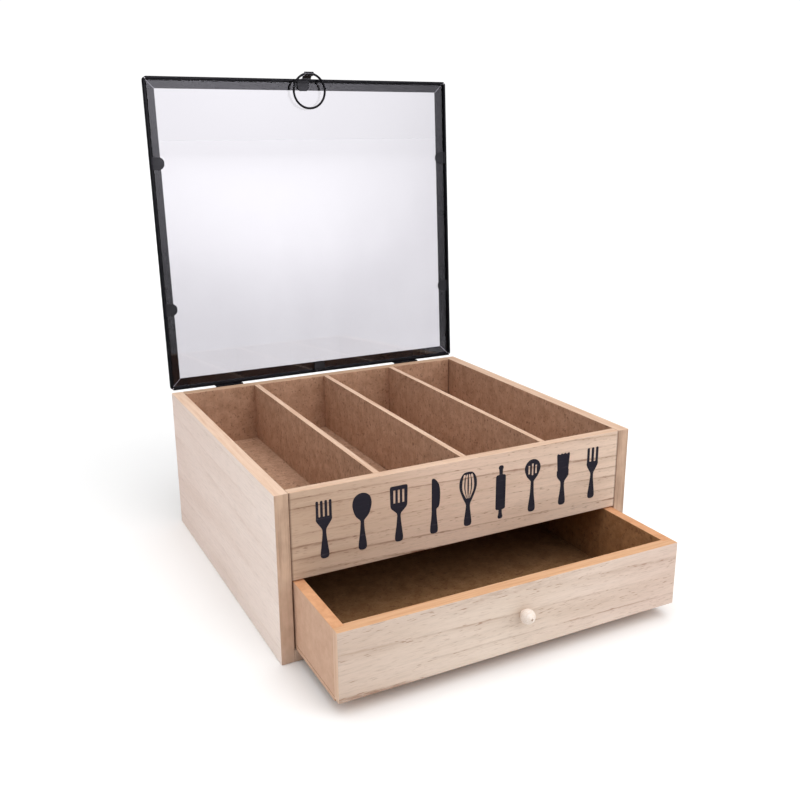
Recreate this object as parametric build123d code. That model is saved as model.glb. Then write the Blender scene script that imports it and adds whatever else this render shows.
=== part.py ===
from build123d import *
import math
import os

# Utensil caddy with drawer. Millimetres. +X right, +Y back, +Z up.
# The origin is the centre of the box's footprint, on the surface that it stands on.
# The pieces are written out with the lid standing open and the drawer partly drawn.

# ---- driving dimensions: box ----
BOX_W = 280.0            # over the side panels
BOX_D = 260.0            # front face to back face
BOX_H = 119.0
SIDE_T = 9.5             # side panel
FRONT_T = 7.0            # upper front panel
BACK_T = 8.5
BASE_T = 8.5
FRONT_BOTTOM = 58.6      # underside of the upper front panel
TRAY_T = 3.0             # hardboard floor of the compartments
TRAY_TOP = 70.0
GROOVE = 2.5             # how far the tray floor is let into the panels round it
DIVIDER_T = 4.5
DIVIDERS = ("left", "centre", "right")
EASE = 0.5               # sanded edges of the boards

# ---- driving dimensions: drawer ----
DRAWN = 69.5             # how far the drawer stands out of the box
DRAWER_SIDE_GAP = 1.2
DRAWER_LIFT = 0.3        # running clearance over the base panel
DRAWER_BACK_GAP = 0.5    # left behind the drawer when it is shut
DRAWER_TOP = 57.5
DRAWER_FRONT_BOTTOM = 10.4
DRAWER_FRONT_T = 8.8
REBATE = 2.5             # step in the drawer front that takes the sides and the bottom
DRAWER_T = 7.5           # drawer sides and back
DRAWER_BOTTOM_T = 3.0
KNOB_Z = 36.7
KNOB_R = 5.0
KNOB_NECK_R = 2.1
KNOB_NECK = 1.2          # from the drawer front to the ball
KNOB_DIMPLE_R = 0.9      # lathe centre mark on the ball's nose
KNOB_SCREW_R = 1.5
KNOB_SCREW_HEAD_R = 3.0
KNOB_SCREW_HEAD = 1.6
CROSS_W = 0.8            # arms of the cross slot in the knob screw
CROSS_REACH = 1.8
CROSS_DEPTH = 0.8

# ---- driving dimensions: lid, given as it lies when shut ----
LID_W = 278.0
LID_L = 258.0            # rear face to front face
LID_H = 6.0
LID_GAP = 0.5            # over the box's top
LID_OPEN = 93.3          # angle from shut to the stop
RAIL_T = 1.8             # sheet of the angle section
FLANGE = 9.0             # flange width over the wall
CORNER_R = 3.0
RIM_EASE = 0.4
TOP_EASE = 1.2
GLASS_T = 2.0
GLASS_EASE = 0.2
GLASS_INSET = 1.0        # gap from the pane's edge to the rail's wall
TAB_W = 10.4
TAB_L = 8.0              # front and rear tabs
SIDE_TAB_L = 9.7
TAB_T = 1.0
TAB_LEG = 0.8
TAB_TIP = 4.2            # rounded end of the front and rear tabs
SIDE_TAB_TIP = 5.0
SIDE_TABS = (69.5, 190.0)    # from the lid's rear face
REAR_TAB_X = -0.5
FRONT_TAB_X = -2.0

# ---- driving dimensions: hinges ----
HINGE_X = 88.0
HINGE_W = 24.0
BARREL_R = 1.9
HINGE_PIN_R = 0.85
PIN_PROUD = 0.3          # pin ends beyond the knuckles
PIN_CHAMFER = 0.15
PIN_FIT = 0.02           # radial, pin in the box leaf
RUN_FIT = 0.05           # radial, pin in the lid leaf
KNUCKLE_GAP = 0.15
LEAF_T = 1.0
LEAF_WOOD_GAP = 0.1      # keeps the lid leaf off the back panel
LEAF_DROP = 14.0         # box leaf, down from the pin
LEAF_RISE = 0.6          # lid leaf, up from the rim to clear the box knuckles
LEAF_END = 0.8           # lid leaf, short of the rail's top
BOX_LEAF_R = 1.5         # corners of the leaves
LID_LEAF_R = 1.0
STOP_TOE = 2.6           # toe on the lid leaf that meets the box leaf at the stop
STOP_GAP = 0.05
HINGE_Z = 118.0
SCREW_R = 1.0
SCREW_HEAD_R = 2.0
SCREW_HEAD = 0.9
SCREW_L = 6.5
SCREW_PITCH = 14.0
SCREW_DROP = 9.0
SLOT_W = 0.5
SLOT_DEPTH = 0.4

# ---- driving dimensions: pull ring and its clip ----
RING_X = 1.5
RING_R = 14.3            # to the wire's centre line
WIRE_R = 0.95
CLIP_W = 8.0
CLIP_T = 0.4
CLIP_BORE_R = 1.27
CLIP_MARGIN = 1.0        # clip's pad, short of the rail's edges
CLIP_NECK = 1.4          # how much of the pad's height the bend takes
CLIP_JOG = 0.3           # where the strap clears the box's front, above and below the lid's rim
RING_AHEAD = 3.9         # ring pivot ahead of the front rail
RING_BELOW = 4.6         # ring pivot below the lid's rim

# ---- worked out ----
FRONT_Y, BACK_Y = -BOX_D / 2, BOX_D / 2
IN_X = BOX_W / 2 - SIDE_T
IN_FRONT_Y, IN_BACK_Y = FRONT_Y + FRONT_T, BACK_Y - BACK_T
BAY_W = (2 * IN_X - len(DIVIDERS) * DIVIDER_T) / (len(DIVIDERS) + 1)
DRAWER_X = IN_X - DRAWER_SIDE_GAP
DRAWER_Z = BASE_T + DRAWER_LIFT
FACE_Y = FRONT_Y - DRAWN                               # drawer's front face
DRAWER_REAR_Y = IN_BACK_Y - DRAWER_BACK_GAP - DRAWN
RIM_Z = BOX_H + LID_GAP
LID_REAR_Y = BACK_Y + LEAF_WOOD_GAP
LID_FRONT_Y = LID_REAR_Y - LID_L
HINGE_Y = BACK_Y + LEAF_WOOD_GAP + BARREL_R
GLASS_Z = RIM_Z + LID_H - RAIL_T - GLASS_T
PIVOT_Y = LID_FRONT_Y - RING_AHEAD
PIVOT_Z = RIM_Z - RING_BELOW
HINGE_AXIS = Axis((0, HINGE_Y, HINGE_Z), (1, 0, 0))


def block(x0, x1, y0, y1, z0, z1):
    """A box from its lowest to its highest corner."""
    size = (x1 - x0, y1 - y0, z1 - z0)
    return Pos((x0 + x1) / 2, (y0 + y1) / 2, (z0 + z1) / 2) * Box(*size)


def board(x0, x1, y0, y1, z0, z1, ease=EASE):
    """A wooden board with sanded edges."""
    plain = block(x0, x1, y0, y1, z0, z1)
    return fillet(plain.edges(), ease)


def rod_x(radius, x0, x1, y, z):
    """A round bar along X."""
    return Pos((x0 + x1) / 2, y, z) * Rot(0, 90, 0) * Cylinder(radius, x1 - x0)


def rod_y(radius, y0, y1, x, z):
    """A round bar along Y."""
    return Pos(x, (y0 + y1) / 2, z) * Rot(90, 0, 0) * Cylinder(radius, y1 - y0)


def profile_x(points, x0, x1):
    """A prism along X over a polygon of (y, z) points."""
    plane = Plane(origin=(x0, 0, 0), x_dir=(0, 1, 0), z_dir=(1, 0, 0))
    return extrude(plane * make_face(Polyline(*points, close=True)), x1 - x0)


def opened(piece):
    """A lid piece, turned from shut to the stop."""
    return piece.rotate(HINGE_AXIS, -LID_OPEN)


def turned_point(y, z):
    """Where a point of the shut lid is when the lid stands open."""
    angle = math.radians(-LID_OPEN)
    dy, dz = y - HINGE_Y, z - HINGE_Z
    return (HINGE_Y + dy * math.cos(angle) - dz * math.sin(angle),
            HINGE_Z + dy * math.sin(angle) + dz * math.cos(angle))


# ---- box ----
def tray_floor():
    return block(-IN_X - GROOVE, IN_X + GROOVE, IN_FRONT_Y - GROOVE, IN_BACK_Y + GROOVE,
                 TRAY_TOP - TRAY_T, TRAY_TOP)


def side_panel(side):
    outer, inner = side * BOX_W / 2, side * IN_X
    panel = board(min(outer, inner), max(outer, inner), FRONT_Y, BACK_Y, 0, BOX_H)
    return panel - tray_floor()


def front_panel():
    return board(-IN_X, IN_X, FRONT_Y, IN_FRONT_Y, FRONT_BOTTOM, BOX_H) - tray_floor()


def screw_places(side):
    for step in (-1, 1):
        yield side * HINGE_X + step * SCREW_PITCH / 2, HINGE_Z - SCREW_DROP


def back_panel():
    panel = board(-IN_X, IN_X, IN_BACK_Y, BACK_Y, 0, BOX_H) - tray_floor()
    for side in (-1, 1):
        for x, z in screw_places(side):
            panel -= rod_y(SCREW_R + PIN_FIT, BACK_Y - SCREW_L, BACK_Y + 1, x, z)
    return panel


def base_panel():
    return board(-IN_X, IN_X, FRONT_Y, IN_BACK_Y, 0, BASE_T)


def divider(index):
    left = -IN_X + (index + 1) * BAY_W + index * DIVIDER_T
    return board(left, left + DIVIDER_T, IN_FRONT_Y, IN_BACK_Y, TRAY_TOP, BOX_H)


# ---- hinges ----
def knuckles():
    """The X spans of a hinge's three knuckles, about its middle: box, lid, box."""
    third = HINGE_W / 3
    return ((-HINGE_W / 2, -third / 2 - KNUCKLE_GAP), (-third / 2, third / 2),
            (third / 2 + KNUCKLE_GAP, HINGE_W / 2))


def hinge_pin(side):
    x = side * HINGE_X
    pin = rod_x(HINGE_PIN_R, x - HINGE_W / 2 - PIN_PROUD, x + HINGE_W / 2 + PIN_PROUD,
                HINGE_Y, HINGE_Z)
    return chamfer(pin.edges().filter_by(GeomType.CIRCLE), PIN_CHAMFER)


def hinge_box_leaf(side):
    """Leaf on the box's back, with the two outer knuckles."""
    x = side * HINGE_X
    face = HINGE_Y - BARREL_R + LEAF_T
    bottom = HINGE_Z - LEAF_DROP
    leaf = block(x - HINGE_W / 2, x + HINGE_W / 2, BACK_Y, face, bottom,
                 HINGE_Z - BARREL_R - KNUCKLE_GAP)
    leaf = fillet(leaf.edges().filter_by(Axis.Y).group_by(Axis.Z)[0], BOX_LEAF_R)
    for start, end in (knuckles()[0], knuckles()[2]):
        leaf += block(x + start, x + end, BACK_Y, face, HINGE_Z - BARREL_R - 1, HINGE_Z)
        leaf += rod_x(BARREL_R, x + start, x + end, HINGE_Y, HINGE_Z)
    leaf -= rod_x(HINGE_PIN_R + PIN_FIT, x - HINGE_W, x + HINGE_W, HINGE_Y, HINGE_Z)
    for hole_x, hole_z in screw_places(side):
        leaf -= rod_y(SCREW_R + PIN_FIT, BACK_Y - 1, face + 1, hole_x, hole_z)
    return leaf


def stop_toe(x0, x1):
    """Toe that lies along the box leaf when the lid stands open, drawn in that pose."""
    near = HINGE_Y - BARREL_R + LEAF_T + STOP_GAP
    return profile_x([(near, HINGE_Z - BARREL_R - STOP_TOE), (near + LEAF_T, HINGE_Z - BARREL_R - STOP_TOE),
                      (HINGE_Y + BARREL_R * 0.8, HINGE_Z - BARREL_R * 0.5),
                      (near, HINGE_Z - BARREL_R * 0.9)], x0, x1)


def hinge_lid_leaf(side):
    """Leaf on the lid's rear rail, with the middle knuckle and its stop toe."""
    x = side * HINGE_X
    start, end = knuckles()[1]
    face = LID_REAR_Y + LEAF_T
    leaf = block(x - HINGE_W / 2, x + HINGE_W / 2, LID_REAR_Y, face,
                 RIM_Z + LEAF_RISE, RIM_Z + LID_H - LEAF_END)
    leaf = fillet(leaf.edges().filter_by(Axis.Y).group_by(Axis.Z)[-1], LID_LEAF_R)
    leaf += block(x + start, x + end, LID_REAR_Y, face, HINGE_Z, RIM_Z + 1)
    leaf += rod_x(BARREL_R, x + start, x + end, HINGE_Y, HINGE_Z)
    leaf = opened(leaf) + stop_toe(x + start, x + end)
    return leaf - rod_x(HINGE_PIN_R + RUN_FIT, x - HINGE_W, x + HINGE_W, HINGE_Y, HINGE_Z)


def slotted_screw(x, z):
    """A small screw into the box's back, with a domed, slotted head."""
    face = HINGE_Y - BARREL_R + LEAF_T
    head = rod_y(SCREW_HEAD_R, face, face + SCREW_HEAD, x, z)
    head = fillet(head.edges().filter_by(GeomType.CIRCLE).sort_by(Axis.Y)[-1], SCREW_HEAD * 0.7)
    shank = rod_y(SCREW_R, BACK_Y - SCREW_L, face, x, z)
    slot = block(x - SCREW_HEAD_R, x + SCREW_HEAD_R, face + SCREW_HEAD - SLOT_DEPTH,
                 face + SCREW_HEAD + 1, z - SLOT_W / 2, z + SLOT_W / 2)
    return head + shank - slot


def hinge_screws():
    places = [place for side in (-1, 1) for place in screw_places(side)]
    return Compound([slotted_screw(x, z) for x, z in places])


# ---- lid, drawn shut and then opened ----
def lid_frame():
    """The four rails in one: a rim with a flange round the window, open underneath."""
    x, top = LID_W / 2, RIM_Z + LID_H
    frame = block(-x, x, LID_FRONT_Y, LID_REAR_Y, RIM_Z, top)
    frame = fillet(frame.edges().filter_by(Axis.Z), CORNER_R)
    frame = fillet(frame.faces().sort_by(Axis.Z)[-1].edges(), TOP_EASE)
    frame = fillet(frame.faces().sort_by(Axis.Z)[0].edges(), RIM_EASE)
    frame -= block(-x + RAIL_T, x - RAIL_T, LID_FRONT_Y + RAIL_T, LID_REAR_Y - RAIL_T,
                   RIM_Z - 1, top - RAIL_T)
    frame -= block(-x + FLANGE, x - FLANGE, LID_FRONT_Y + FLANGE, LID_REAR_Y - FLANGE, RIM_Z, top + 1)
    return frame


def mitre_wedge(where):
    """The part of the lid's plan that one rail takes, cut at 45 degrees."""
    x = LID_W / 2
    corners = {"front": [(-x, LID_FRONT_Y), (x, LID_FRONT_Y)], "rear": [(x, LID_REAR_Y), (-x, LID_REAR_Y)],
               "left": [(-x, LID_REAR_Y), (-x, LID_FRONT_Y)], "right": [(x, LID_FRONT_Y), (x, LID_REAR_Y)]}
    a, b = corners[where]
    middle_y = (LID_FRONT_Y + LID_REAR_Y) / 2
    inward = [(px - math.copysign(2 * FLANGE, px), py - math.copysign(2 * FLANGE, py - middle_y))
              for px, py in (b, a)]
    outline = make_face(Polyline(a, b, *inward, close=True))
    return extrude(Pos(0, 0, RIM_Z - 1) * outline, LID_H + 2)


def lid_rail(where):
    return opened(lid_frame() & mitre_wedge(where))


def lid_glass():
    x = LID_W / 2 - RAIL_T - GLASS_INSET
    pane = block(-x, x, LID_FRONT_Y + RAIL_T + GLASS_INSET, LID_REAR_Y - RAIL_T - GLASS_INSET,
                 GLASS_Z, GLASS_Z + GLASS_T)
    return opened(chamfer(pane.edges(), GLASS_EASE))


def glass_tab(x, y, heading, length=TAB_L, rounded=TAB_TIP):
    """A round-ended tongue against the pane, with a leg on the rail's wall. heading turns it about Z."""
    tongue = block(-TAB_W / 2, TAB_W / 2, 0, length - rounded, -TAB_T, 0)
    tip = Pos(0, length - rounded, -TAB_T / 2) * Cylinder(TAB_W / 2, TAB_T)
    tip &= block(-TAB_W, TAB_W, 0, length, -TAB_T, 0)
    leg = block(-TAB_W / 2, TAB_W / 2, 0, TAB_LEG, RIM_Z + RIM_EASE - GLASS_Z, 0)
    return Pos(x, y, GLASS_Z) * Rot(0, 0, heading) * (tongue + tip + leg)


def glass_tabs():
    wall = LID_W / 2 - RAIL_T
    tabs = [glass_tab(REAR_TAB_X, LID_REAR_Y - RAIL_T, 180),
            glass_tab(FRONT_TAB_X, LID_FRONT_Y + RAIL_T, 0)]
    for place in SIDE_TABS:
        tabs.append(glass_tab(-wall, LID_REAR_Y - place, -90, SIDE_TAB_L, SIDE_TAB_TIP))
        tabs.append(glass_tab(wall, LID_REAR_Y - place, 90, SIDE_TAB_L, SIDE_TAB_TIP))
    return Compound([opened(tab) for tab in tabs])


def ring_clip():
    """A strap folded round the ring's wire, its two layers jogged and spot welded to the front rail."""
    x0, x1 = RING_X - CLIP_W / 2, RING_X + CLIP_W / 2
    loop_r = CLIP_BORE_R + CLIP_T
    outer_y = LID_FRONT_Y - 2 * CLIP_T
    strap_y = PIVOT_Y + loop_r
    bottom, top = RIM_Z + CLIP_MARGIN, RIM_Z + LID_H - CLIP_MARGIN
    pad = block(x0, x1, outer_y, LID_FRONT_Y, bottom, top)
    neck = profile_x([(LID_FRONT_Y - CLIP_T, bottom), (LID_FRONT_Y - CLIP_T, bottom + CLIP_NECK),
                      (outer_y, bottom + CLIP_NECK), (strap_y - 2 * CLIP_T, RIM_Z + CLIP_JOG),
                      (strap_y - 2 * CLIP_T, PIVOT_Z + loop_r * 0.9), (PIVOT_Y, PIVOT_Z),
                      (strap_y, PIVOT_Z), (strap_y, RIM_Z - CLIP_JOG)], x0, x1)
    clip = pad + neck + rod_x(loop_r, x0, x1, PIVOT_Y, PIVOT_Z)
    return opened(clip - rod_x(CLIP_BORE_R, x0 - 1, x1 + 1, PIVOT_Y, PIVOT_Z))


def pull_ring():
    """The ring hangs upright, and its wire fills the clip's bore evenly from side to side."""
    y, z = turned_point(PIVOT_Y, PIVOT_Z)
    sag = CLIP_W ** 2 / 8 / RING_R / 2
    return Pos(RING_X, y, z + sag - RING_R) * Rot(90, 0, 0) * Torus(RING_R, WIRE_R)


# ---- drawer ----
def drawer_front():
    panel = board(-DRAWER_X, DRAWER_X, FACE_Y, FACE_Y + DRAWER_FRONT_T, DRAWER_FRONT_BOTTOM, DRAWER_TOP)
    step_y = FACE_Y + DRAWER_FRONT_T - REBATE
    for side in (-1, 1):
        x0, x1 = sorted((side * (DRAWER_X - DRAWER_T), side * (DRAWER_X + 1)))
        panel -= block(x0, x1, step_y, 0, 0, BOX_H)
    panel -= block(-BOX_W, BOX_W, step_y, 0, 0, DRAWER_Z + DRAWER_BOTTOM_T)
    return panel - rod_y(KNOB_SCREW_R + PIN_FIT, FACE_Y - 1, 0, 0, KNOB_Z)


def drawer_side(side):
    x0, x1 = sorted((side * DRAWER_X, side * (DRAWER_X - DRAWER_T)))
    return board(x0, x1, FACE_Y + DRAWER_FRONT_T - REBATE, DRAWER_REAR_Y,
                 DRAWER_Z + DRAWER_BOTTOM_T, DRAWER_TOP)


def drawer_back():
    x = DRAWER_X - DRAWER_T
    return board(-x, x, DRAWER_REAR_Y - DRAWER_T, DRAWER_REAR_Y, DRAWER_Z + DRAWER_BOTTOM_T, DRAWER_TOP)


def drawer_bottom():
    return board(-DRAWER_X, DRAWER_X, FACE_Y + DRAWER_FRONT_T - REBATE, DRAWER_REAR_Y,
                 DRAWER_Z, DRAWER_Z + DRAWER_BOTTOM_T, ease=0.3)


def drawer_knob():
    """A turned ball on a short neck, with a lathe mark on its nose and a pilot hole behind."""
    centre_y = FACE_Y - KNOB_NECK - KNOB_R * 0.85
    ball = Pos(0, centre_y, KNOB_Z) * Sphere(KNOB_R)
    neck = rod_y(KNOB_NECK_R, centre_y, FACE_Y, 0, KNOB_Z)
    nose = rod_y(KNOB_DIMPLE_R, centre_y - KNOB_R - 1, centre_y - KNOB_R + 1.1, 0, KNOB_Z)
    pilot = rod_y(KNOB_SCREW_R + PIN_FIT, centre_y, FACE_Y + 1, 0, KNOB_Z)
    return ball + neck - nose - pilot


def knob_screw():
    """Screw from inside the drawer, through its front and into the knob."""
    inside = FACE_Y + DRAWER_FRONT_T
    head = rod_y(KNOB_SCREW_HEAD_R, inside, inside + KNOB_SCREW_HEAD, 0, KNOB_Z)
    head = fillet(head.edges().filter_by(GeomType.CIRCLE).sort_by(Axis.Y)[-1], KNOB_SCREW_HEAD * 0.6)
    shank = rod_y(KNOB_SCREW_R, FACE_Y - KNOB_NECK - KNOB_R * 0.8, inside, 0, KNOB_Z)
    floor, above = inside + KNOB_SCREW_HEAD - CROSS_DEPTH, inside + 2 * KNOB_SCREW_HEAD
    for reach_x, reach_z in ((CROSS_W / 2, CROSS_REACH), (CROSS_REACH, CROSS_W / 2)):
        head -= block(-reach_x, reach_x, floor, above, KNOB_Z - reach_z, KNOB_Z + reach_z)
    return head + shank


def pieces():
    """Every piece by name."""
    made = {"front_panel": front_panel(), "back_panel": back_panel(), "base_panel": base_panel(),
            "tray_floor": tray_floor(), "hinge_screws": hinge_screws(), "lid_glass": lid_glass(),
            "glass_tabs": glass_tabs(), "ring_clip": ring_clip(), "pull_ring": pull_ring(),
            "drawer_front": drawer_front(), "drawer_back": drawer_back(),
            "drawer_bottom": drawer_bottom(), "drawer_knob": drawer_knob(), "knob_screw": knob_screw()}
    for name, side in (("left", -1), ("right", 1)):
        made[f"side_panel_{name}"] = side_panel(side)
        made[f"drawer_side_{name}"] = drawer_side(side)
        made[f"hinge_pin_{name}"] = hinge_pin(side)
        made[f"hinge_box_leaf_{name}"] = hinge_box_leaf(side)
        made[f"hinge_lid_leaf_{name}"] = hinge_lid_leaf(side)
    for index, name in enumerate(DIVIDERS):
        made[f"divider_{name}"] = divider(index)
    for name in ("front", "rear", "left", "right"):
        made[f"lid_rail_{name}"] = lid_rail(name)
    return made


os.makedirs("parts", exist_ok=True)
for node, shape in pieces().items():
    export_step(shape, f"parts/{node}.step")

print("hinge axis y, z:", round(HINGE_Y, 3), round(HINGE_Z, 3))
print("ring axis y, z:", [round(v, 3) for v in turned_point(PIVOT_Y, PIVOT_Z)])
print("compartment width:", round(BAY_W, 3))
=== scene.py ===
import math

import bmesh
import bpy
from mathutils import Matrix, Vector


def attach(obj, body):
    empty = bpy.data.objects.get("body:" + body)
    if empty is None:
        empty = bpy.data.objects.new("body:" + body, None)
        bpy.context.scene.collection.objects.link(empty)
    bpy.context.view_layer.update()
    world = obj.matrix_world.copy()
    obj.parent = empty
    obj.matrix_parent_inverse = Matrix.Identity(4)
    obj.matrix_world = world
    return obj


# The looks of the utensil caddy. Metres, in the row frame: +X right, +Y back, +Z up.

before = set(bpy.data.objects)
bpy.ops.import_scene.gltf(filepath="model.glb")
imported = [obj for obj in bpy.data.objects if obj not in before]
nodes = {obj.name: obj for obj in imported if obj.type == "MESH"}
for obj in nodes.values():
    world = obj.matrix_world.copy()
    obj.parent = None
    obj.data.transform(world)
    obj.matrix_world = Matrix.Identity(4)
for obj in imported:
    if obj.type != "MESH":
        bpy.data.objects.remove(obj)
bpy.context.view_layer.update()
scene = bpy.context.scene

FRONT_Y = -0.130             # the box's front face
PRINT_T, PRINT_SUNK = 0.00006, 0.00001       # the print's thickness, and how much of it is in the panel
BACKDROP = 1.05              # brightness of the studio behind the object


# ---- node helpers ----
def new_material(name):
    material = bpy.data.materials.new(name)
    material.use_nodes = True
    tree = material.node_tree
    tree.nodes.clear()
    output = tree.nodes.new("ShaderNodeOutputMaterial")
    shader = tree.nodes.new("ShaderNodeBsdfPrincipled")
    tree.links.new(shader.outputs["BSDF"], output.inputs["Surface"])
    return material, tree, shader


def node(tree, kind, **settings):
    made = tree.nodes.new(kind)
    for key, value in settings.items():
        setattr(made, key, value)
    return made


def plug(tree, source, target):
    tree.links.new(source, target)


def place(tree, scale=(1, 1, 1), location=(0, 0, 0), rotation=(0, 0, 0)):
    """Row-frame coordinates, scaled and moved."""
    coordinate = node(tree, "ShaderNodeTexCoord")
    mapping = node(tree, "ShaderNodeMapping")
    mapping.inputs["Scale"].default_value = scale
    mapping.inputs["Location"].default_value = location
    mapping.inputs["Rotation"].default_value = rotation
    plug(tree, coordinate.outputs["Object"], mapping.inputs["Vector"])
    return mapping.outputs["Vector"]


def noise(tree, vector, scale, detail=4.0, roughness=0.5, distortion=0.0):
    made = node(tree, "ShaderNodeTexNoise")
    made.inputs["Scale"].default_value = scale
    made.inputs["Detail"].default_value = detail
    made.inputs["Roughness"].default_value = roughness
    made.inputs["Distortion"].default_value = distortion
    plug(tree, vector, made.inputs["Vector"])
    return made.outputs["Fac"]


def ramp(tree, value, stops, interpolation="LINEAR"):
    """A colour ramp over (position, colour) stops. A plain number stands for a grey."""
    made = node(tree, "ShaderNodeValToRGB")
    band = made.color_ramp
    band.interpolation = interpolation
    while len(band.elements) < len(stops):
        band.elements.new(0.5)
    for element, (position, colour) in zip(band.elements, stops):
        element.position = position
        if not isinstance(colour, (tuple, list)):
            colour = (colour, colour, colour)
        element.color = (*colour, 1)
    plug(tree, value, made.inputs["Fac"])
    return made.outputs["Color"]


def remap(tree, value, low, high, to_low=0.0, to_high=1.0):
    made = node(tree, "ShaderNodeMapRange")
    made.inputs["From Min"].default_value = low
    made.inputs["From Max"].default_value = high
    made.inputs["To Min"].default_value = to_low
    made.inputs["To Max"].default_value = to_high
    plug(tree, value, made.inputs["Value"])
    return made.outputs["Result"]


def maths(tree, operation, a, b=None, c=None):
    """One arithmetic node over sockets and plain numbers."""
    made = node(tree, "ShaderNodeMath", operation=operation)
    for index, value in enumerate((a, b, c)):
        if value is None:
            continue
        if isinstance(value, (int, float)):
            made.inputs[index].default_value = value
        else:
            plug(tree, value, made.inputs[index])
    return made.outputs["Value"]


def hypotenuse(tree, a, b):
    squares = maths(tree, "ADD", maths(tree, "MULTIPLY", a, a), maths(tree, "MULTIPLY", b, b))
    return maths(tree, "SQRT", squares)


def blend_colour(tree, factor, a, b, mode="MIX"):
    """Colours a and b mixed, or b laid over a in another mode. Each is a socket or a plain colour."""
    made = node(tree, "ShaderNodeMix", data_type="RGBA", blend_type=mode)
    coloured = {socket.name: socket for socket in made.inputs if socket.type == "RGBA"}
    for target, value in ((made.inputs["Factor"], factor), (coloured["A"], a), (coloured["B"], b)):
        if isinstance(value, (int, float)):
            target.default_value = value
        elif isinstance(value, tuple):
            target.default_value = (*value, 1)
        else:
            plug(tree, value, target)
    return next(socket for socket in made.outputs if socket.type == "RGBA")


def bump(tree, shader, height, strength, distance):
    made = node(tree, "ShaderNodeBump")
    made.inputs["Strength"].default_value = strength
    made.inputs["Distance"].default_value = distance
    plug(tree, height, made.inputs["Height"])
    plug(tree, made.outputs["Normal"], shader.inputs["Normal"])


def srgb(r, g, b):
    """Linear colour from 0-255 display values."""
    def one(v):
        v /= 255
        return v / 12.92 if v <= 0.04045 else ((v + 0.055) / 1.055) ** 2.4
    return (one(r), one(g), one(b))


def assign(material, *names):
    """Gives the named nodes this material alone."""
    for name in names:
        mesh = nodes[name].data
        mesh.materials.clear()
        mesh.materials.append(material)


# ---- pale veneer, with its grain along one axis of the board ----
PEACH, PEACH_DARK = srgb(224, 192, 167), srgb(206, 167, 139)
PEACH_PALE, PEACH_PALE_DARK = srgb(233, 202, 178), srgb(216, 178, 150)
ORANGE, ORANGE_DARK = srgb(223, 169, 128), srgb(204, 148, 108)
ORANGE_PALE, ORANGE_PALE_DARK = srgb(217, 172, 134), srgb(202, 151, 112)
# The next pair is painted shade: the back panel's top, darker where the open lid shades it.
PEACH_SHADED, PEACH_SHADED_DARK = srgb(201, 166, 138), srgb(182, 146, 118)
EDGE_TAN, EDGE_TAN_DARK = srgb(194, 164, 141), srgb(166, 136, 115)
# The next colour is painted light on the side panels' front edges, toward the bottom.
EDGE_PAINTED_LIT = srgb(212, 182, 162)
BROWN, BROWN_DARK, FLECK = srgb(197, 158, 132), srgb(174, 136, 110), srgb(104, 72, 54)
DRAWER_BROWN, DRAWER_BROWN_DARK = srgb(174, 131, 91), srgb(148, 107, 71)
# The next colour is painted shade, in the groove where two boards meet.
SEAM_SHADE_BROWN = srgb(96, 68, 54)


def normal_part(tree, axis):
    """The surface normal's part along an axis of the row frame, in the rest pose."""
    coordinate = node(tree, "ShaderNodeTexCoord")
    parts = node(tree, "ShaderNodeSeparateXYZ")
    plug(tree, coordinate.outputs["Normal"], parts.inputs["Vector"])
    return parts.outputs[axis.upper()]


def facing(tree, axis, low=0.55, high=0.8):
    """1 where the surface faces along an axis: "+x" and "-x" one way, "x" either way."""
    part = normal_part(tree, axis[-1])
    if axis[0] == "-":
        part = maths(tree, "MULTIPLY", part, -1)
    elif len(axis) == 1:
        part = maths(tree, "ABSOLUTE", part)
    return remap(tree, part, low, high)


def stretched(along, length, across):
    """Texture scales per metre: one along the grain and one across it."""
    return tuple(length if axis == along else across for axis in "xyz")


def row_parts(tree):
    """The three row-frame coordinates, by axis."""
    coordinate = node(tree, "ShaderNodeTexCoord")
    parts = node(tree, "ShaderNodeSeparateXYZ")
    plug(tree, coordinate.outputs["Object"], parts.inputs["Vector"])
    return {axis: parts.outputs[axis.upper()] for axis in "xyz"}


def rings(tree, along, across, seed, pitch, wander, tilt):
    """Growth rings cut by the board's face: rises over each ring and drops at its edge, 0 to 1."""
    parts = row_parts(tree)
    slow = noise(tree, place(tree, stretched(along, 1.6, 7), (seed, seed * 2.1, seed * 0.7)), 1.0, 2.0, 0.5)
    uneven = noise(tree, place(tree, stretched(along, 0.6, 60), (seed * 2, 1, seed * 1.3)), 1.0, 1.0, 0.5)
    jitter = noise(tree, place(tree, stretched(along, 70, 300), (seed, 5, seed * 2)), 1.0, 2.0, 0.6)
    field = maths(tree, "MULTIPLY_ADD", parts[along], tilt, parts[across])
    field = maths(tree, "MULTIPLY", field, 1 / pitch)
    for wobble, amount in ((slow, wander), (uneven, 1.6), (jitter, 0.10)):
        field = maths(tree, "MULTIPLY_ADD", wobble, amount, field)
    return maths(tree, "FRACT", field)


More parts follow.
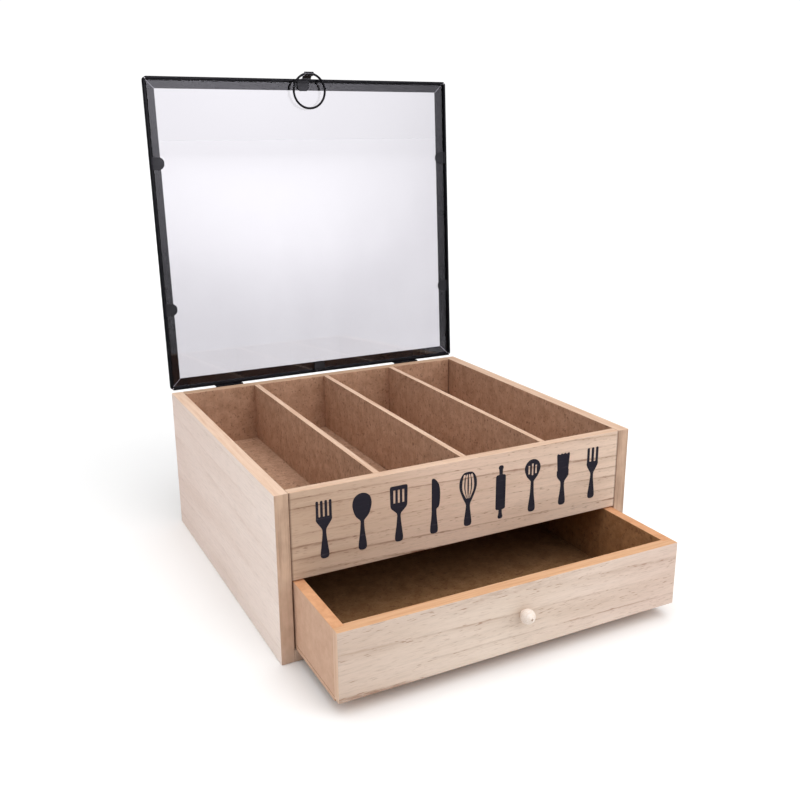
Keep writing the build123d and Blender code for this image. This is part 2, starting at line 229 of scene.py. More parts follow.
def wood_face(tree, along, across, seed, pale, mid, line, pitch=0.011, wander=2.6, tilt=0.03, lines=0.8,
              fibre=0.5):
    """Colour and height of a veneered face. The dark lines lie on the late side of each growth ring."""
    shift = (seed * 1.7, seed * 2.3, seed * 0.9)
    clouds = noise(tree, place(tree, stretched(along, 7, 55), shift), 1.0, 4.0, 0.55)
    wood = ramp(tree, clouds, [(0.32, mid), (0.6, pale)])
    fibres = noise(tree, place(tree, stretched(along, 75, 1100), shift), 1.0, 4.0, 0.62)
    fibre_shades = ramp(tree, fibres, [(0.3, 0.78), (0.48, 0.98), (0.7, 1.06)])
    wood = blend_colour(tree, fibre, wood, fibre_shades, "MULTIPLY")
    ring = rings(tree, along, across, seed, pitch, wander, tilt)
    band = ramp(tree, ring, [(0.0, 0.0), (0.40, 0.0), (0.78, 0.24), (0.93, 0.46), (1.0, 0.0)])
    crest = ramp(tree, ring, [(0.83, 0.0), (0.93, 0.9), (0.99, 0.0)])
    dashes = noise(tree, place(tree, stretched(along, 95, 700), (seed * 3, 1, seed)), 1.0, 3.0, 0.65)
    patches = noise(tree, place(tree, stretched(along, 16, 30), (seed, seed, 3)), 1.0, 2.0, 0.5)
    patches = ramp(tree, patches, [(0.34, 0.25), (0.62, 1.0)])
    soft = blend_colour(tree, 1.0, band, ramp(tree, dashes, [(0.36, 0.45), (0.6, 1.0)]), "MULTIPLY")
    sharp = blend_colour(tree, 1.0, crest, ramp(tree, dashes, [(0.36, 0.15), (0.54, 1.0)]), "MULTIPLY")
    uneven = noise(tree, place(tree, stretched(along, 3, 95), (2, seed, 6)), 1.0, 1.0, 0.5)
    patches = blend_colour(tree, 1.0, patches, ramp(tree, uneven, [(0.36, 0.2), (0.58, 1.15)]), "MULTIPLY")
    strokes = blend_colour(tree, 1.0, blend_colour(tree, 1.0, soft, sharp, "SCREEN"), patches, "MULTIPLY")
    wood = blend_colour(tree, maths(tree, "MULTIPLY", strokes, lines), wood, line)
    pores = noise(tree, place(tree, stretched(along, 170, 1500), (1, seed * 4, 2)), 1.0, 1.0, 0.4)
    pores = ramp(tree, pores, [(0.62, 0.0), (0.72, 0.8)])
    pores = blend_colour(tree, 1.0, pores, ramp(tree, ring, [(0.3, 0.25), (0.8, 1.0)]), "MULTIPLY")
    return blend_colour(tree, maths(tree, "MULTIPLY", pores, lines), wood, line), fibres


def brown_face(tree, seed, light=BROWN, dark=BROWN_DARK):
    """Bare board: mottled brown with dark flecks and fine upright scratches."""
    mottled = noise(tree, place(tree, (1, 1, 1), (seed, 2, 5)), 120, 8.0, 0.75)
    colour = ramp(tree, mottled, [(0.38, dark), (0.62, light)])
    specks = noise(tree, place(tree, (1, 1, 0.7), (4, seed, 2)), 520, 3.0, 0.6)
    colour = blend_colour(tree, ramp(tree, specks, [(0.58, 0.0), (0.68, 0.6)]), colour, FLECK)
    marks = noise(tree, place(tree, (1, 1, 1.4), (seed, 6, 1)), 190, 2.0, 0.5)
    colour = blend_colour(tree, ramp(tree, marks, [(0.66, 0.0), (0.72, 0.5)]), colour, FLECK)
    scratch = noise(tree, place(tree, (520, 520, 24), (seed, 0, 3)), 1.0, 3.0, 0.6)
    return blend_colour(tree, 0.4, colour, ramp(tree, scratch, [(0.3, 0.8), (0.6, 1.05)]), "MULTIPLY")


def drawer_brown(tree, seed):
    """The drawer's inside, with painted shade: darker brown toward the back, a little lighter at the front.
    """
    board = brown_face(tree, seed, DRAWER_BROWN, DRAWER_BROWN_DARK)
    reach = remap(tree, row_parts(tree)["y"], -0.135, -0.06)
    painted_shade_rearward = ramp(tree, reach, [(0.0, 1.08), (0.5, 0.74), (1.0, 0.55)])
    return blend_colour(tree, 1.0, board, painted_shade_rearward, "MULTIPLY")


def cut_face(tree, along, seed, light, dark):
    """A sanded edge, with short streaks along it."""
    streaks = noise(tree, place(tree, stretched(along, 22, 420), (seed, 3, 1)), 1.0, 5.0, 0.62)
    return ramp(tree, streaks, [(0.3, dark), (0.56, light), (0.8, light)])


def board_material(name, along, across, seed, colours, edges, shades=(), seams=(), **options):
    """A board with veneered faces. edges lists (direction, maker of a colour) for the faces that differ,
    shades lists (axis, low, high, stops) for slow changes over the board, painted light and shade among
    them, and seams lists (axis, place) for dark lines where boards meet, painted shade of the groove."""
    material, tree, shader = new_material(name)
    wood, height = wood_face(tree, along, across, seed, *colours, **options)
    parts = row_parts(tree)
    for axis, low, high, stops in shades:
        shade = ramp(tree, remap(tree, parts[axis], low, high), stops)
        wood = blend_colour(tree, 1.0, wood, shade, "MULTIPLY")
    for direction, maker in edges:
        wood = blend_colour(tree, facing(tree, direction), wood, maker(tree))
    for axis, at in seams:
        near = maths(tree, "ABSOLUTE", maths(tree, "SUBTRACT", maths(tree, "ABSOLUTE", parts[axis]), at))
        dark = remap(tree, near, SEAM, SEAM * 4, 0.8, 0.0)
        dark = maths(tree, "MULTIPLY", dark, facing(tree, "y", 0.3, 0.6))
        wood = blend_colour(tree, dark, wood, SEAM_SHADE_BROWN)
    plug(tree, wood, shader.inputs["Base Color"])
    shader.inputs["Roughness"].default_value = 0.62
    shader.inputs["Specular IOR Level"].default_value = 0.22
    bump(tree, shader, height, 0.22, 0.0003)
    return material


def top_edge(along, light=PEACH, dark=PEACH_DARK):
    """An entry for board_material's edges: the sanded top, streaked along the board."""
    return "z", lambda tree: cut_face(tree, along, 2, light, dark)


def front_edge(tree):
    """The side panels' front edges: blotchy, with painted light making them paler toward the bottom."""
    streaks = cut_face(tree, "z", 7, EDGE_TAN, EDGE_TAN_DARK)
    blotches = noise(tree, place(tree, (1, 1, 0.6), (3, 1, 8)), 90, 3.0, 0.6)
    streaks = blend_colour(tree, 1.0, streaks, ramp(tree, blotches, [(0.35, 0.88), (0.65, 1.08)]), "MULTIPLY")
    painted_light_low = remap(tree, row_parts(tree)["z"], 0.0, 0.07, 1.0, 0.0)
    return blend_colour(tree, painted_light_low, streaks, ramp(tree, blotches, [(0.35, EDGE_TAN), (0.65, EDGE_PAINTED_LIT)]))


FRONT_EDGE = ("y", front_edge)
SIDE_COLOURS = (srgb(244, 228, 218), srgb(238, 220, 209), srgb(204, 176, 160))
FRONT_COLOURS = (srgb(216, 194, 176), srgb(202, 178, 158), srgb(126, 91, 68))
BACK_COLOURS = (srgb(214, 194, 178), srgb(202, 180, 163), srgb(150, 118, 96))
DRAWER_COLOURS = (srgb(213, 195, 180), srgb(201, 181, 164), srgb(140, 103, 80))
SEAM = 0.0004                # half the dark line where two boards meet, painted shade of the groove
INNER_X = 0.1305             # the side panels' inner faces


def shade_change(axis, start, middle, end):
    """A slow change of shade over the box's width or depth, for board_material's shades."""
    return axis, -0.13, 0.13, [(0.0, start), (0.45, middle), (1.0, end)]


# Painted light and shade: the drawer front lighter in the middle and darker at the left.
PAINTED_LIGHT_ACROSS_DRAWER = shade_change("x", (0.93, 0.90, 0.89), (1.12, 1.16, 1.19), (1.0, 0.96, 0.98))
REARWARD = shade_change("y", (1.0, 1.0, 1.0), (0.97, 0.95, 0.945), (0.93, 0.89, 0.88))
# The front board darker toward the left: partly the veneer's own tone, partly painted shade.
SIDEWAYS_TONE_AND_SHADE = shade_change("x", (0.80, 0.73, 0.665), (1.02, 0.95, 0.93), (1.03, 1.01, 1.0))

for side, inward, seed, edge in (("left", "+x", 3, (PEACH_PALE, PEACH_PALE_DARK)),
                                 ("right", "-x", 14, (PEACH, PEACH_DARK))):
    assign(board_material(f"side_board_{side}", "y", "z", seed, SIDE_COLOURS,
                          [top_edge("y", *edge), FRONT_EDGE, (inward, lambda tree: brown_face(tree, 6))],
                          shades=[REARWARD], pitch=0.016, lines=0.3, tilt=-0.02), f"side_panel_{side}")
assign(board_material("front_board", "x", "z", 5, FRONT_COLOURS,
                      [top_edge("x"), ("+y", lambda tree: brown_face(tree, 1))],
                      shades=[SIDEWAYS_TONE_AND_SHADE], seams=[("x", INNER_X)], pitch=0.0092, wander=1.8, lines=0.95),
       "front_panel")
assign(board_material("drawer_board", "x", "z", 9, DRAWER_COLOURS,
                      [top_edge("x", ORANGE_PALE, ORANGE_PALE_DARK),
                       ("+y", lambda tree: drawer_brown(tree, 4)),
                       ("x", lambda tree: cut_face(tree, "z", 3, PEACH, PEACH_DARK))],
                      shades=[PAINTED_LIGHT_ACROSS_DRAWER], pitch=0.018, lines=0.8, tilt=0.036, wander=1.6), "drawer_front")
assign(board_material("back_board", "x", "z", 12, BACK_COLOURS,
                      [top_edge("x", PEACH_SHADED, PEACH_SHADED_DARK), ("-y", lambda tree: brown_face(tree, 8))],
                      seams=[("x", INNER_X)], pitch=0.012), "back_panel")
assign(board_material("base_board", "x", "y", 16, BACK_COLOURS, [FRONT_EDGE]), "base_panel")


# ---- brown hardboard and fibreboard ----
def bare_board(name, seed, edges=(), face=None):
    material, tree, shader = new_material(name)
    colour = (face or brown_face)(tree, seed)
    for direction, maker in edges:
        colour = blend_colour(tree, facing(tree, direction), colour, maker(tree))
    plug(tree, colour, shader.inputs["Base Color"])
    shader.inputs["Roughness"].default_value = 0.72
    shader.inputs["Specular IOR Level"].default_value = 0.2
    grit = noise(tree, place(tree), 900, 4.0, 0.7)
    bump(tree, shader, grit, 0.2, 0.0002)
    return material


def fibre_edge(tree):
    """A sawn fibreboard edge: mottled, with no grain."""
    mottled = noise(tree, place(tree, (1, 1, 1), (2, 4, 1)), 130, 5.0, 0.6)
    return ramp(tree, mottled, [(0.32, ORANGE_DARK), (0.66, ORANGE)])


def smooth_fibre(tree, seed):
    """The drawer's sides outside: even, pinkish tan."""
    mottled = noise(tree, place(tree, (1, 1, 1), (seed, 1, 2)), 160, 6.0, 0.7)
    return ramp(tree, mottled, [(0.3, srgb(199, 160, 135)), (0.7, srgb(214, 178, 153))])


assign(bare_board("divider_board", 2, [top_edge("y")]), "divider_left", "divider_centre", "divider_right")
assign(bare_board("tray_board", 11), "tray_floor")
assign(bare_board("drawer_floor_board", 13, [("x", lambda tree: smooth_fibre(tree, 3))], drawer_brown),
       "drawer_bottom")
for side, inward in (("left", "+x"), ("right", "-x")):
    assign(bare_board(f"drawer_side_board_{side}", 5,
                      [("z", fibre_edge), (inward, lambda tree: drawer_brown(tree, 9))],
                      smooth_fibre), f"drawer_side_{side}")
assign(bare_board("drawer_back_board", 7, [("z", fibre_edge)], drawer_brown), "drawer_back")


# ---- turned wood ----
def turned():
    material, tree, shader = new_material("knob_wood")
    turnings = noise(tree, place(tree, (60, 420, 420)), 3.0, 4.0, 0.6)
    plug(tree, ramp(tree, turnings, [(0.3, srgb(224, 206, 190)), (0.7, srgb(240, 229, 221))]),
         shader.inputs["Base Color"])
    shader.inputs["Roughness"].default_value = 0.4
    bump(tree, shader, turnings, 0.1, 0.0002)
    return material


assign(turned(), "drawer_knob")


# ---- metal ----
def painted_metal(name, colour, rough, metallic=0.0, specular=0.3, marks=None, gloss=None):
    """marks(tree) gives how much of the pale bare-metal colour, bare metal and painted highlight, lies on the
    paint, from 0 to 1, and gloss(tree) the specular level where it varies."""
    material, tree, shader = new_material(name)
    grit = noise(tree, place(tree), 900, 3.0, 0.6)
    paint = ramp(tree, grit, [(0.3, tuple(c * 0.8 for c in colour)), (0.7, tuple(c * 1.2 for c in colour))])
    if marks:
        # Bare metal and painted highlights, in one pale colour.
        paint = blend_colour(tree, marks(tree), paint, BARE_AND_HIGHLIGHT)
    plug(tree, paint, shader.inputs["Base Color"])
    worn = noise(tree, place(tree, (1, 1, 1), (3, 1, 2)), 60, 5.0, 0.6)
    plug(tree, remap(tree, worn, 0.3, 0.7, rough - 0.06, rough + 0.08), shader.inputs["Roughness"])
    shader.inputs["Metallic"].default_value = metallic
    if gloss:
        plug(tree, gloss(tree), shader.inputs["Specular IOR Level"])
    else:
        shader.inputs["Specular IOR Level"].default_value = specular
    waves = noise(tree, place(tree, (1, 1, 1), (2, 7, 4)), 70, 3.0, 0.55)
    bump(tree, shader, maths(tree, "MULTIPLY_ADD", grit, 0.06, waves), 0.5, 0.0012)
    return material


LID_OPEN = math.radians(93.3)                            # the lid in the rest pose stands open
HINGE = Vector((0, 0.132, 0.118))
LID_MIDDLE_Y = 0.0011        # the shut lid's middle
LID_SHORTER_BY = 0.010       # half its width less half its length
RIM_X = 0.1372               # the rails' rims begin here
# The pale colour of bare metal, used also for painted highlights.
BARE_AND_HIGHLIGHT = srgb(236, 233, 242)
JOINT, JOINT_FADES = 0.00025, 0.00050                    # half the pale line at a mitre, and where it ends


def on_shut_lid(tree):
    """How far a point is from the lid's middle, across and along, with the lid shut."""
    turn = Matrix.Rotation(LID_OPEN, 3, "X")
    point = place(tree, (1, 1, 1), tuple(HINGE - turn @ HINGE), (LID_OPEN, 0, 0))
    parts = node(tree, "ShaderNodeSeparateXYZ")
    plug(tree, point, parts.inputs["Vector"])
    from_middle = maths(tree, "SUBTRACT", parts.outputs["Y"], LID_MIDDLE_Y)
    return maths(tree, "ABSOLUTE", parts.outputs["X"]), maths(tree, "ABSOLUTE", from_middle)


def mitres_and_scratches(tree):
    """Pale mitre lines, part bare seam, part painted highlight, weaker outside the frame, and bare nicks."""
    across, along = on_shut_lid(tree)
    off_joint = maths(tree, "ADD", maths(tree, "SUBTRACT", along, across), LID_SHORTER_BY)
    mitre_highlight = remap(tree, maths(tree, "ABSOLUTE", off_joint), JOINT, JOINT_FADES, 0.9, 0.0)
    nicks = noise(tree, place(tree, (1, 1, 1), (5, 3, 9)), 900, 2.0, 0.5)
    where = noise(tree, place(tree, (1, 1, 1), (1, 8, 2)), 40, 2.0, 0.5)
    nicks = maths(tree, "MULTIPLY", remap(tree, nicks, 0.70, 0.76), remap(tree, where, 0.52, 0.66, 0.0, 0.5))
    inside = remap(tree, normal_part(tree, "y"), -0.6, -0.3, 1.0, 0.45)
    return maths(tree, "MAXIMUM", maths(tree, "MULTIPLY", mitre_highlight, inside), nicks)


def glossy_under_glass(tree):
    """The flange under the pane shines more than the rails' rims do."""
    across, along = on_shut_lid(tree)
    outward = maths(tree, "MAXIMUM", across, maths(tree, "ADD", along, LID_SHORTER_BY))
    flange = remap(tree, outward, RIM_X - 0.0004, RIM_X, 1.0, 0.0)
    inside = remap(tree, normal_part(tree, "y"), -0.9, -0.8, 1.0, 0.0)
    return remap(tree, maths(tree, "MULTIPLY", inside, flange), 0.0, 1.0, 0.06, 0.32)


def end_highlight(tree):
    """The strap's sheared end: a painted highlight in the pale bare-metal colour."""
    return maths(tree, "MULTIPLY", facing(tree, "-x"), 0.9)


assign(painted_metal("black_frame", (0.006, 0.006, 0.0075), 0.30, marks=mitres_and_scratches,
                     gloss=glossy_under_glass),
       "lid_rail_front", "lid_rail_rear", "lid_rail_left", "lid_rail_right")
assign(painted_metal("black_metal", (0.006, 0.006, 0.0075), 0.32, specular=0.15),
       "hinge_lid_leaf_left", "hinge_lid_leaf_right", "hinge_box_leaf_left", "hinge_box_leaf_right",
       "pull_ring")
assign(painted_metal("black_tabs", (0.006, 0.006, 0.007), 0.4, specular=0.25), "glass_tabs")
assign(painted_metal("clip_metal", (0.012, 0.012, 0.014), 0.25, specular=0.4, marks=end_highlight), "ring_clip")
assign(painted_metal("dark_steel", (0.12, 0.12, 0.125), 0.34, 0.9),
       "hinge_pin_left", "hinge_pin_right", "hinge_screws", "knob_screw")


# ---- glass, a little smoky, that lets light through onto what it covers ----
PAINTED_CLEAREST, PAINTED_CLEAR_REACH = (-0.04, 0.37), (0.26, 0.20)      # where painted light clears the pane most: x, z
PAINTED_LIGHT_TINT = (0.80, 0.785, 0.825)


def glass():
    material, tree, shader = new_material("pane_glass")
    smudges = noise(tree, place(tree, (1, 1, 0.5), (4, 2, 7)), 16, 4.0, 0.6)
    tint = ramp(tree, smudges, [(0.35, (0.62, 0.605, 0.645)), (0.65, (0.655, 0.64, 0.68))])
    parts = row_parts(tree)
    across = maths(tree, "DIVIDE", maths(tree, "SUBTRACT", parts["x"], PAINTED_CLEAREST[0]), PAINTED_CLEAR_REACH[0])
    up = maths(tree, "DIVIDE", maths(tree, "SUBTRACT", parts["z"], PAINTED_CLEAREST[1]), PAINTED_CLEAR_REACH[1])
    # Painted light: the tint clears about one spot near the top, standing in for the pane's reflections.
    painted_light_clearness = ramp(tree, hypotenuse(tree, across, up), [(0.0, 1.0), (0.35, 0.85), (1.0, 0.0)], "EASE")
    plug(tree, blend_colour(tree, painted_light_clearness, tint, PAINTED_LIGHT_TINT), shader.inputs["Base Color"])
    shader.inputs["Roughness"].default_value = 0.0
    shader.inputs["IOR"].default_value = 1.5
    shader.inputs["Transmission Weight"].default_value = 1.0
    clear = node(tree, "ShaderNodeBsdfTransparent")
    clear.inputs["Color"].default_value = (0.9, 0.9, 0.9, 1)
    path = node(tree, "ShaderNodeLightPath")
    either = node(tree, "ShaderNodeMixShader")
    plug(tree, path.outputs["Is Shadow Ray"], either.inputs["Fac"])
    plug(tree, shader.outputs["BSDF"], either.inputs[1])
    plug(tree, clear.outputs["BSDF"], either.inputs[2])
    plug(tree, either.outputs["Shader"], tree.nodes["Material Output"].inputs["Surface"])
    return material


assign(glass(), "lid_glass")


# ---- the print on the front: a row of utensils ----
# Each figure is drawn as outlines of (x, z) points, in millimetres, 38 tall and about the line x = 0.
PRINT_BOTTOM, PRINT_PITCH, PRINT_SCALE = 0.0695, 0.0268, 1.06
PRINT_BOLD = 1.2             # widens the figures
TALL = 38.0


def smooth_run(points, steps=8):
    """A Catmull-Rom run through (x, z) points."""
    padded = [points[0], *points, points[-1]]
    run = []
    for p0, p1, p2, p3 in zip(padded, padded[1:], padded[2:], padded[3:]):
        for step in range(steps):
            t = step / steps
            run.append(tuple(0.5 * (2 * b + (c - a) * t + (2 * a - 5 * b + 4 * c - d) * t * t
                                    + (3 * b - a - 3 * c + d) * t ** 3)
                             for a, b, c, d in zip(p0, p1, p2, p3)))
    run.append(points[-1])
    return run


def mirrored(right_side):
    """A closed outline from its right side, which runs from the bottom to the top on the middle line."""
    left_side = [(-x, z) for x, z in reversed(right_side) if x > 1e-6]
    return right_side + left_side


def handle(neck, top):
    """Right side of a flared handle, from its end up to the neck. Millimetres."""
    return [(0, 0), (1.5, 0.35), (2.3, 1.6), (2.35, 4), (1.9, 8), (1.35, 13), (neck, top)]


def spoon(neck=20.0, bowl=5.4, top=TALL):
    belly = neck + (top - neck) * 0.55
    side = handle(1.05, neck - 2) + [(1.3, neck), (bowl * 0.72, neck + 3.6), (bowl, belly),
                                     (bowl * 0.86, top - 3.2), (bowl * 0.45, top - 0.7), (0, top)]
    return [mirrored(smooth_run(side))]


def round_end(middle, radius, level, bulge):
    """Half a circle from its right to its left, bulging up for 1 and down for -1."""
    return [(middle + radius * math.cos(a), level + bulge * radius * math.sin(a))
            for a in (math.pi * k / 6 for k in range(7))]


def fork(tines=4, width=1.45, gap=0.95, root=27.5, top=TALL):
    span = tines * width + (tines - 1) * gap
    right = smooth_run(handle(1.05, 17) + [(1.3, 19.5), (2.6, 22), (span / 2, 25.2), (span / 2, root)])
    outline = list(right)
    for index in range(tines):
        outer = span / 2 - index * (width + gap)
        outline += round_end(outer - width / 2, width / 2, top - width / 2, 1)
        if index < tines - 1:
            outline += round_end(outer - width - gap / 2, gap / 2, root + gap / 2, -1)
    return [outline + [(-x, z) for x, z in reversed(right) if x > 1e-6]]


def knife():
    side = smooth_run([(0, 0), (1.5, 0.35), (2.3, 1.6), (2.3, 5), (1.8, 10), (1.45, 15.5)])
    blade = smooth_run([(1.45, 15.5), (1.7, 17.2), (2.9, 18.4), (3.5, 22), (3.6, 29), (2.7, 34), (0.4, 37.6),
                        (-1.2, 38)])
    spine = [(-1.5, 37), (-1.5, 17)]
    back = [(-x, z) for x, z in reversed(side) if x > 1e-6]
    return [side + blade[1:] + spine + back]


def slot(x, low, high, half_low, half_high):
    return [(x - half_low, low), (x + half_low, low), (x + half_high, high), (x - half_high, high)]


def turner():
    side = smooth_run(handle(1.0, 18)) + smooth_run([(1.2, 19.5), (2.6, 21), (4.6, 23.5), (5.0, 26)])[1:]
    side += [(5.2, 36.6), (4.9, 37.7), (4.2, 38), (0, 38)]
    return [mirrored(side)] + [slot(x, 26.5, 35.2, 0.55, 0.6) for x in (-2.6, 0.0, 2.6)]


def whisk():
    cage = [(1.7, 16.5), (3.4, 20.5), (5.4, 27), (5.2, 33), (3.0, 37.2), (0, 38)]
    side = smooth_run(handle(1.3, 15) + cage)
    loops = []
    for x0, x1 in ((0.45, 1.75), (2.35, 3.75)):
        inner = smooth_run([(x0 * 0.35, 19.5), (x0, 26), (x0, 32), (x0 * 0.7, 35.6), ((x0 + x1) * 0.42, 36.2),
                            (x1 * 0.86, 34.0), (x1, 29), (x1 * 0.86, 24.5), (x0 * 0.35 + 0.3, 19.5)], 5)
        loops += [inner, [(-x, z) for x, z in reversed(inner)]]
    return [mirrored(side)] + loops


def print_piece(name, outlines, x):
    curve = bpy.data.curves.new(name, "CURVE")
    curve.dimensions = "2D"
    curve.fill_mode = "BOTH"
    curve.extrude = PRINT_T / 2
    for outline in outlines:
        spline = curve.splines.new("POLY")
        spline.points.add(len(outline) - 1)
        for point, (px, pz) in zip(spline.points, outline):
            point.co = (px * PRINT_SCALE / 1000 * PRINT_BOLD, pz * PRINT_SCALE / 1000, 0, 1)
        spline.use_cyclic_u = True
    drawn = bpy.data.objects.new(name + "_outline", curve)
    scene.collection.objects.link(drawn)
    bpy.context.view_layer.update()
    mesh = bpy.data.meshes.new_from_object(drawn)
    mesh.name = name
    mesh.transform(Matrix.Translation((x, FRONT_Y - PRINT_T / 2 + PRINT_SUNK, PRINT_BOTTOM))
                   @ Matrix.Rotation(math.radians(90), 4, "X"))
    bpy.data.objects.remove(drawn)
    obj = bpy.data.objects.new(name, mesh)
    scene.collection.objects.link(obj)
    mesh.materials.clear()
    mesh.materials.append(INK)
    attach(obj, "carcass")


def ink():
    material, tree, shader = new_material("navy_ink")
    worn = noise(tree, place(tree, (40, 40, 600)), 1.0, 5.0, 0.65)
    navy = ramp(tree, worn, [(0.30, srgb(58, 52, 58)), (0.42, srgb(30, 28, 38)), (0.8, srgb(25, 24, 34))])
    plug(tree, navy, shader.inputs["Base Color"])
    shader.inputs["Roughness"].default_value = 0.55
    shader.inputs["Specular IOR Level"].default_value = 0.25
    return material


def slotted_spoon():
    holes = ((-2.3, 27.5, 33.5), (0.0, 26.5, 34.8), (2.3, 27.5, 33.5))
    return spoon(22.5, 5.3) + [slot(x, low, high, 0.5, 0.5) for x, low, high in holes]


def brush():
    side = smooth_run(handle(1.3, 15) + [(1.6, 17.5), (3.6, 20.5), (4.2, 22.5)])
    side += [(4.2, 25.6), (3.9, 25.6), (3.9, 26.5), (4.5, 37.0), (3.9, 38), (2.3, 37.2), (1.1, 38), (0, 37.3)]
    return [mirrored(side)]


def rolling_pin():
    side = smooth_run([(0, 0), (1.1, 0.3), (1.6, 1.6), (1.2, 3.6), (1.1, 6.4)])
    side += [(2.6, 6.8), (3.2, 7.6), (3.2, 30.4), (2.6, 31.2)]
    side += smooth_run([(1.1, 31.6), (1.2, 34.4), (1.6, 36.4), (1.1, 37.7), (0, 38)])
    return [mirrored(side)]


INK = ink()
MOTIFS = (("fork", fork()), ("spoon", spoon()), ("turner", turner()), ("knife", knife()),
          ("whisk", whisk()), ("rolling_pin", rolling_pin()), ("slotted_spoon", slotted_spoon()),
          ("brush", brush()), ("serving_fork", fork(3, 1.8, 1.3)))
for index, (name, outlines) in enumerate(MOTIFS):
    print_piece(f"print_{name}", outlines, (index - (len(MOTIFS) - 1) / 2) * PRINT_PITCH)


# ---- floor, backdrop, lights and camera ----
GLOW = 0.27                  # a pool of light on the floor behind the box, seen through the lid
GLOW_TOWARD = (math.sin(math.radians(18)), math.cos(math.radians(18)))


def floor():
    """A pale floor, with the pool of light as a weak glow of its own."""
    mesh = bpy.data.meshes.new("floor")
    made = bmesh.new()
    bmesh.ops.create_grid(made, x_segments=2, y_segments=2, size=40)
    made.to_mesh(mesh)
    made.free()
    obj = bpy.data.objects.new("floor", mesh)
    obj.location.z = -0.0002
    scene.collection.objects.link(obj)
    material, tree, shader = new_material("studio_floor")
    shader.inputs["Base Color"].default_value = (0.96, 0.96, 0.96, 1)
    shader.inputs["Roughness"].default_value = 1.0
    shader.inputs["Specular IOR Level"].default_value = 0.0
    parts = row_parts(tree)
    away = hypotenuse(tree, parts["x"], parts["y"])
    toward = maths(tree, "ADD", maths(tree, "MULTIPLY", parts["x"], GLOW_TOWARD[0]),
                   maths(tree, "MULTIPLY", parts["y"], GLOW_TOWARD[1]))
    lobe = maths(tree, "POWER", maths(tree, "MAXIMUM", maths(tree, "DIVIDE", toward, away), 0.0), 30)
    reach = ramp(tree, remap(tree, away, 0.0, 20.0),
                 [(0.042, 0.0), (0.06, 0.42), (0.085, 0.74), (0.11, 0.9), (0.16, 0.82), (0.28, 0.62),
                  (0.75, 0.0)])
    shader.inputs["Emission Color"].default_value = (1, 1, 1, 1)
    plug(tree, maths(tree, "MULTIPLY", maths(tree, "MULTIPLY", lobe, reach), GLOW),
         shader.inputs["Emission Strength"])
    mesh.materials.append(material)
    obj.visible_glossy = False


floor()


# Soft boxes on the studio's walls: (direction, sharpness, strength). What surfaces mirror is set apart
# from what lights them.
LIGHTING = (((0.18, -0.62, 0.77), 12, 3.0),
            ((-0.85, 0.1, 0.5), 4, 1.12),
            ((0.1, 0.1, 0.99), 6, 2.0))
MIRRORED = (((0.27, -0.92, 0.27), 32, 10.2),
            ((-0.75, -0.15, 0.64), 5, 0.5),
            ((0.1, 0.1, 0.99), 8, 0.5))
AMBIENT, MIRRORED_AMBIENT, FROM_BELOW = 0.10, 0.09, 0.02
SHARPLY = 0.35               # how much of the mirrored soft boxes a sharp mirror shows
MIRRORED_TINT = (0.97, 0.94, 1.06)


def soft_boxes(tree, boxes, ambient):
    direction = node(tree, "ShaderNodeTexCoord").outputs["Generated"]
    parts = node(tree, "ShaderNodeSeparateXYZ")
    plug(tree, direction, parts.inputs["Vector"])
    total = remap(tree, parts.outputs["Z"], -0.15, 0.05, FROM_BELOW, ambient)
    for axis, sharpness, strength in boxes:
        dot = node(tree, "ShaderNodeVectorMath", operation="DOT_PRODUCT")
        plug(tree, direction, dot.inputs[0])
        dot.inputs[1].default_value = Vector(axis).normalized()
        lobe = maths(tree, "POWER", maths(tree, "MAXIMUM", dot.outputs["Value"], 0.0), sharpness)
        total = maths(tree, "MULTIPLY_ADD", lobe, strength, total)
    return total


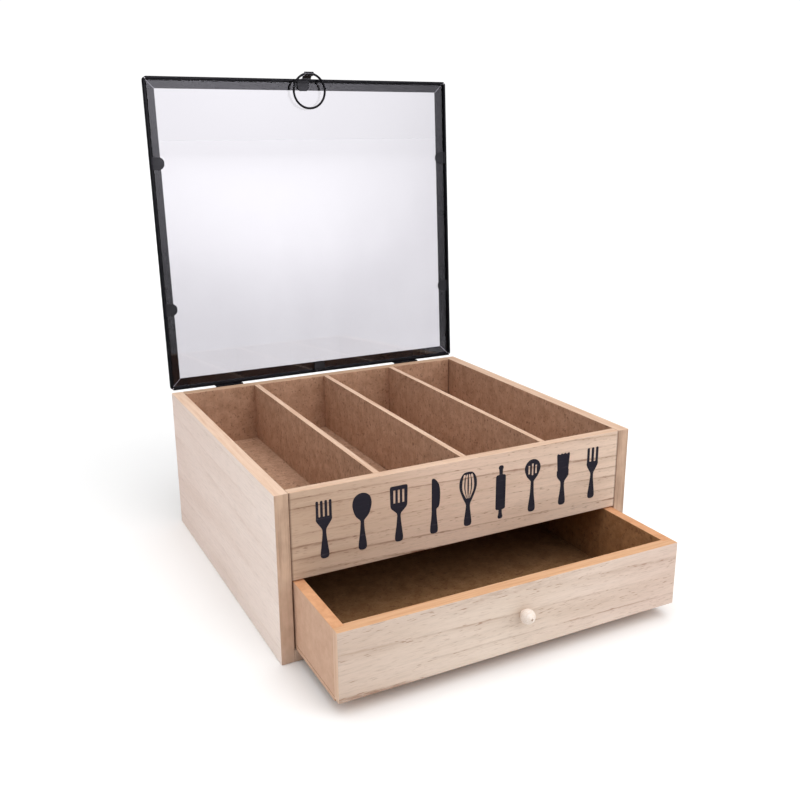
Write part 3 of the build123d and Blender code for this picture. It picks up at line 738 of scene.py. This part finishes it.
def studio():
    """The world: white where the camera sees it, soft boxes where it lights or is mirrored."""
    world = bpy.data.worlds.new("studio")
    scene.world = world
    world.use_nodes = True
    tree = world.node_tree
    path = node(tree, "ShaderNodeLightPath")
    lit = soft_boxes(tree, LIGHTING, AMBIENT)
    mirrored = soft_boxes(tree, MIRRORED, MIRRORED_AMBIENT)
    seen = maths(tree, "MAXIMUM", path.outputs["Is Camera Ray"], path.outputs["Is Transmission Ray"])
    choice = node(tree, "ShaderNodeMix", data_type="FLOAT")
    plug(tree, path.outputs["Is Glossy Ray"], choice.inputs["Factor"])
    plug(tree, lit, choice.inputs["A"])
    sharply = remap(tree, path.outputs["Is Singular Ray"], 0.0, 1.0, 1.0, SHARPLY)
    plug(tree, maths(tree, "MULTIPLY", mirrored, sharply), choice.inputs["B"])
    white = node(tree, "ShaderNodeMix", data_type="FLOAT")
    plug(tree, seen, white.inputs["Factor"])
    plug(tree, choice.outputs["Result"], white.inputs["A"])
    white.inputs["B"].default_value = BACKDROP
    tinted = maths(tree, "MULTIPLY", path.outputs["Is Glossy Ray"], maths(tree, "SUBTRACT", 1.0, seen))
    tint = blend_colour(tree, tinted, (1.0, 1.0, 1.0), MIRRORED_TINT)
    plug(tree, tint, tree.nodes["Background"].inputs["Color"])
    plug(tree, white.outputs["Result"], tree.nodes["Background"].inputs["Strength"])


def lamp(name, place_at, aim, size, power):
    data = bpy.data.lights.new(name, "AREA")
    data.size = size
    data.energy = power
    obj = bpy.data.objects.new(name, data)
    obj.location = place_at
    obj.rotation_euler = (Vector(aim) - Vector(place_at)).to_track_quat("-Z", "Y").to_euler()
    obj.visible_glossy = False
    obj.visible_transmission = False
    scene.collection.objects.link(obj)


studio()
lamp("right_lamp", (0.85, -0.75, 0.35), (0.1, -0.12, 0.08), 0.5, 3.4)

scene.view_settings.view_transform = "Standard"
scene.view_settings.look = "None"

CAMERA_AT = Vector((-0.30579, -0.62665, 0.33355))
AZIMUTH, ELEVATION, ROLL = math.radians(-27.04), math.radians(16.50), math.radians(-0.33)
SENSOR, LENS = 36, 40.80


def camera():
    level = math.cos(ELEVATION)
    back = Vector((math.sin(AZIMUTH) * level, -math.cos(AZIMUTH) * level, math.sin(ELEVATION)))
    right = Vector((math.cos(AZIMUTH), math.sin(AZIMUTH), 0))
    up = back.cross(right)
    c, s = math.cos(ROLL), math.sin(ROLL)
    turned_right, turned_up = right * c + up * s, up * c - right * s
    data = bpy.data.cameras.new("camera")
    data.sensor_width = SENSOR
    data.lens = LENS
    obj = bpy.data.objects.new("camera", data)
    rotation = Matrix((turned_right, turned_up, back)).transposed()
    obj.matrix_world = Matrix.Translation(CAMERA_AT) @ rotation.to_4x4()
    scene.collection.objects.link(obj)
    scene.camera = obj


camera()
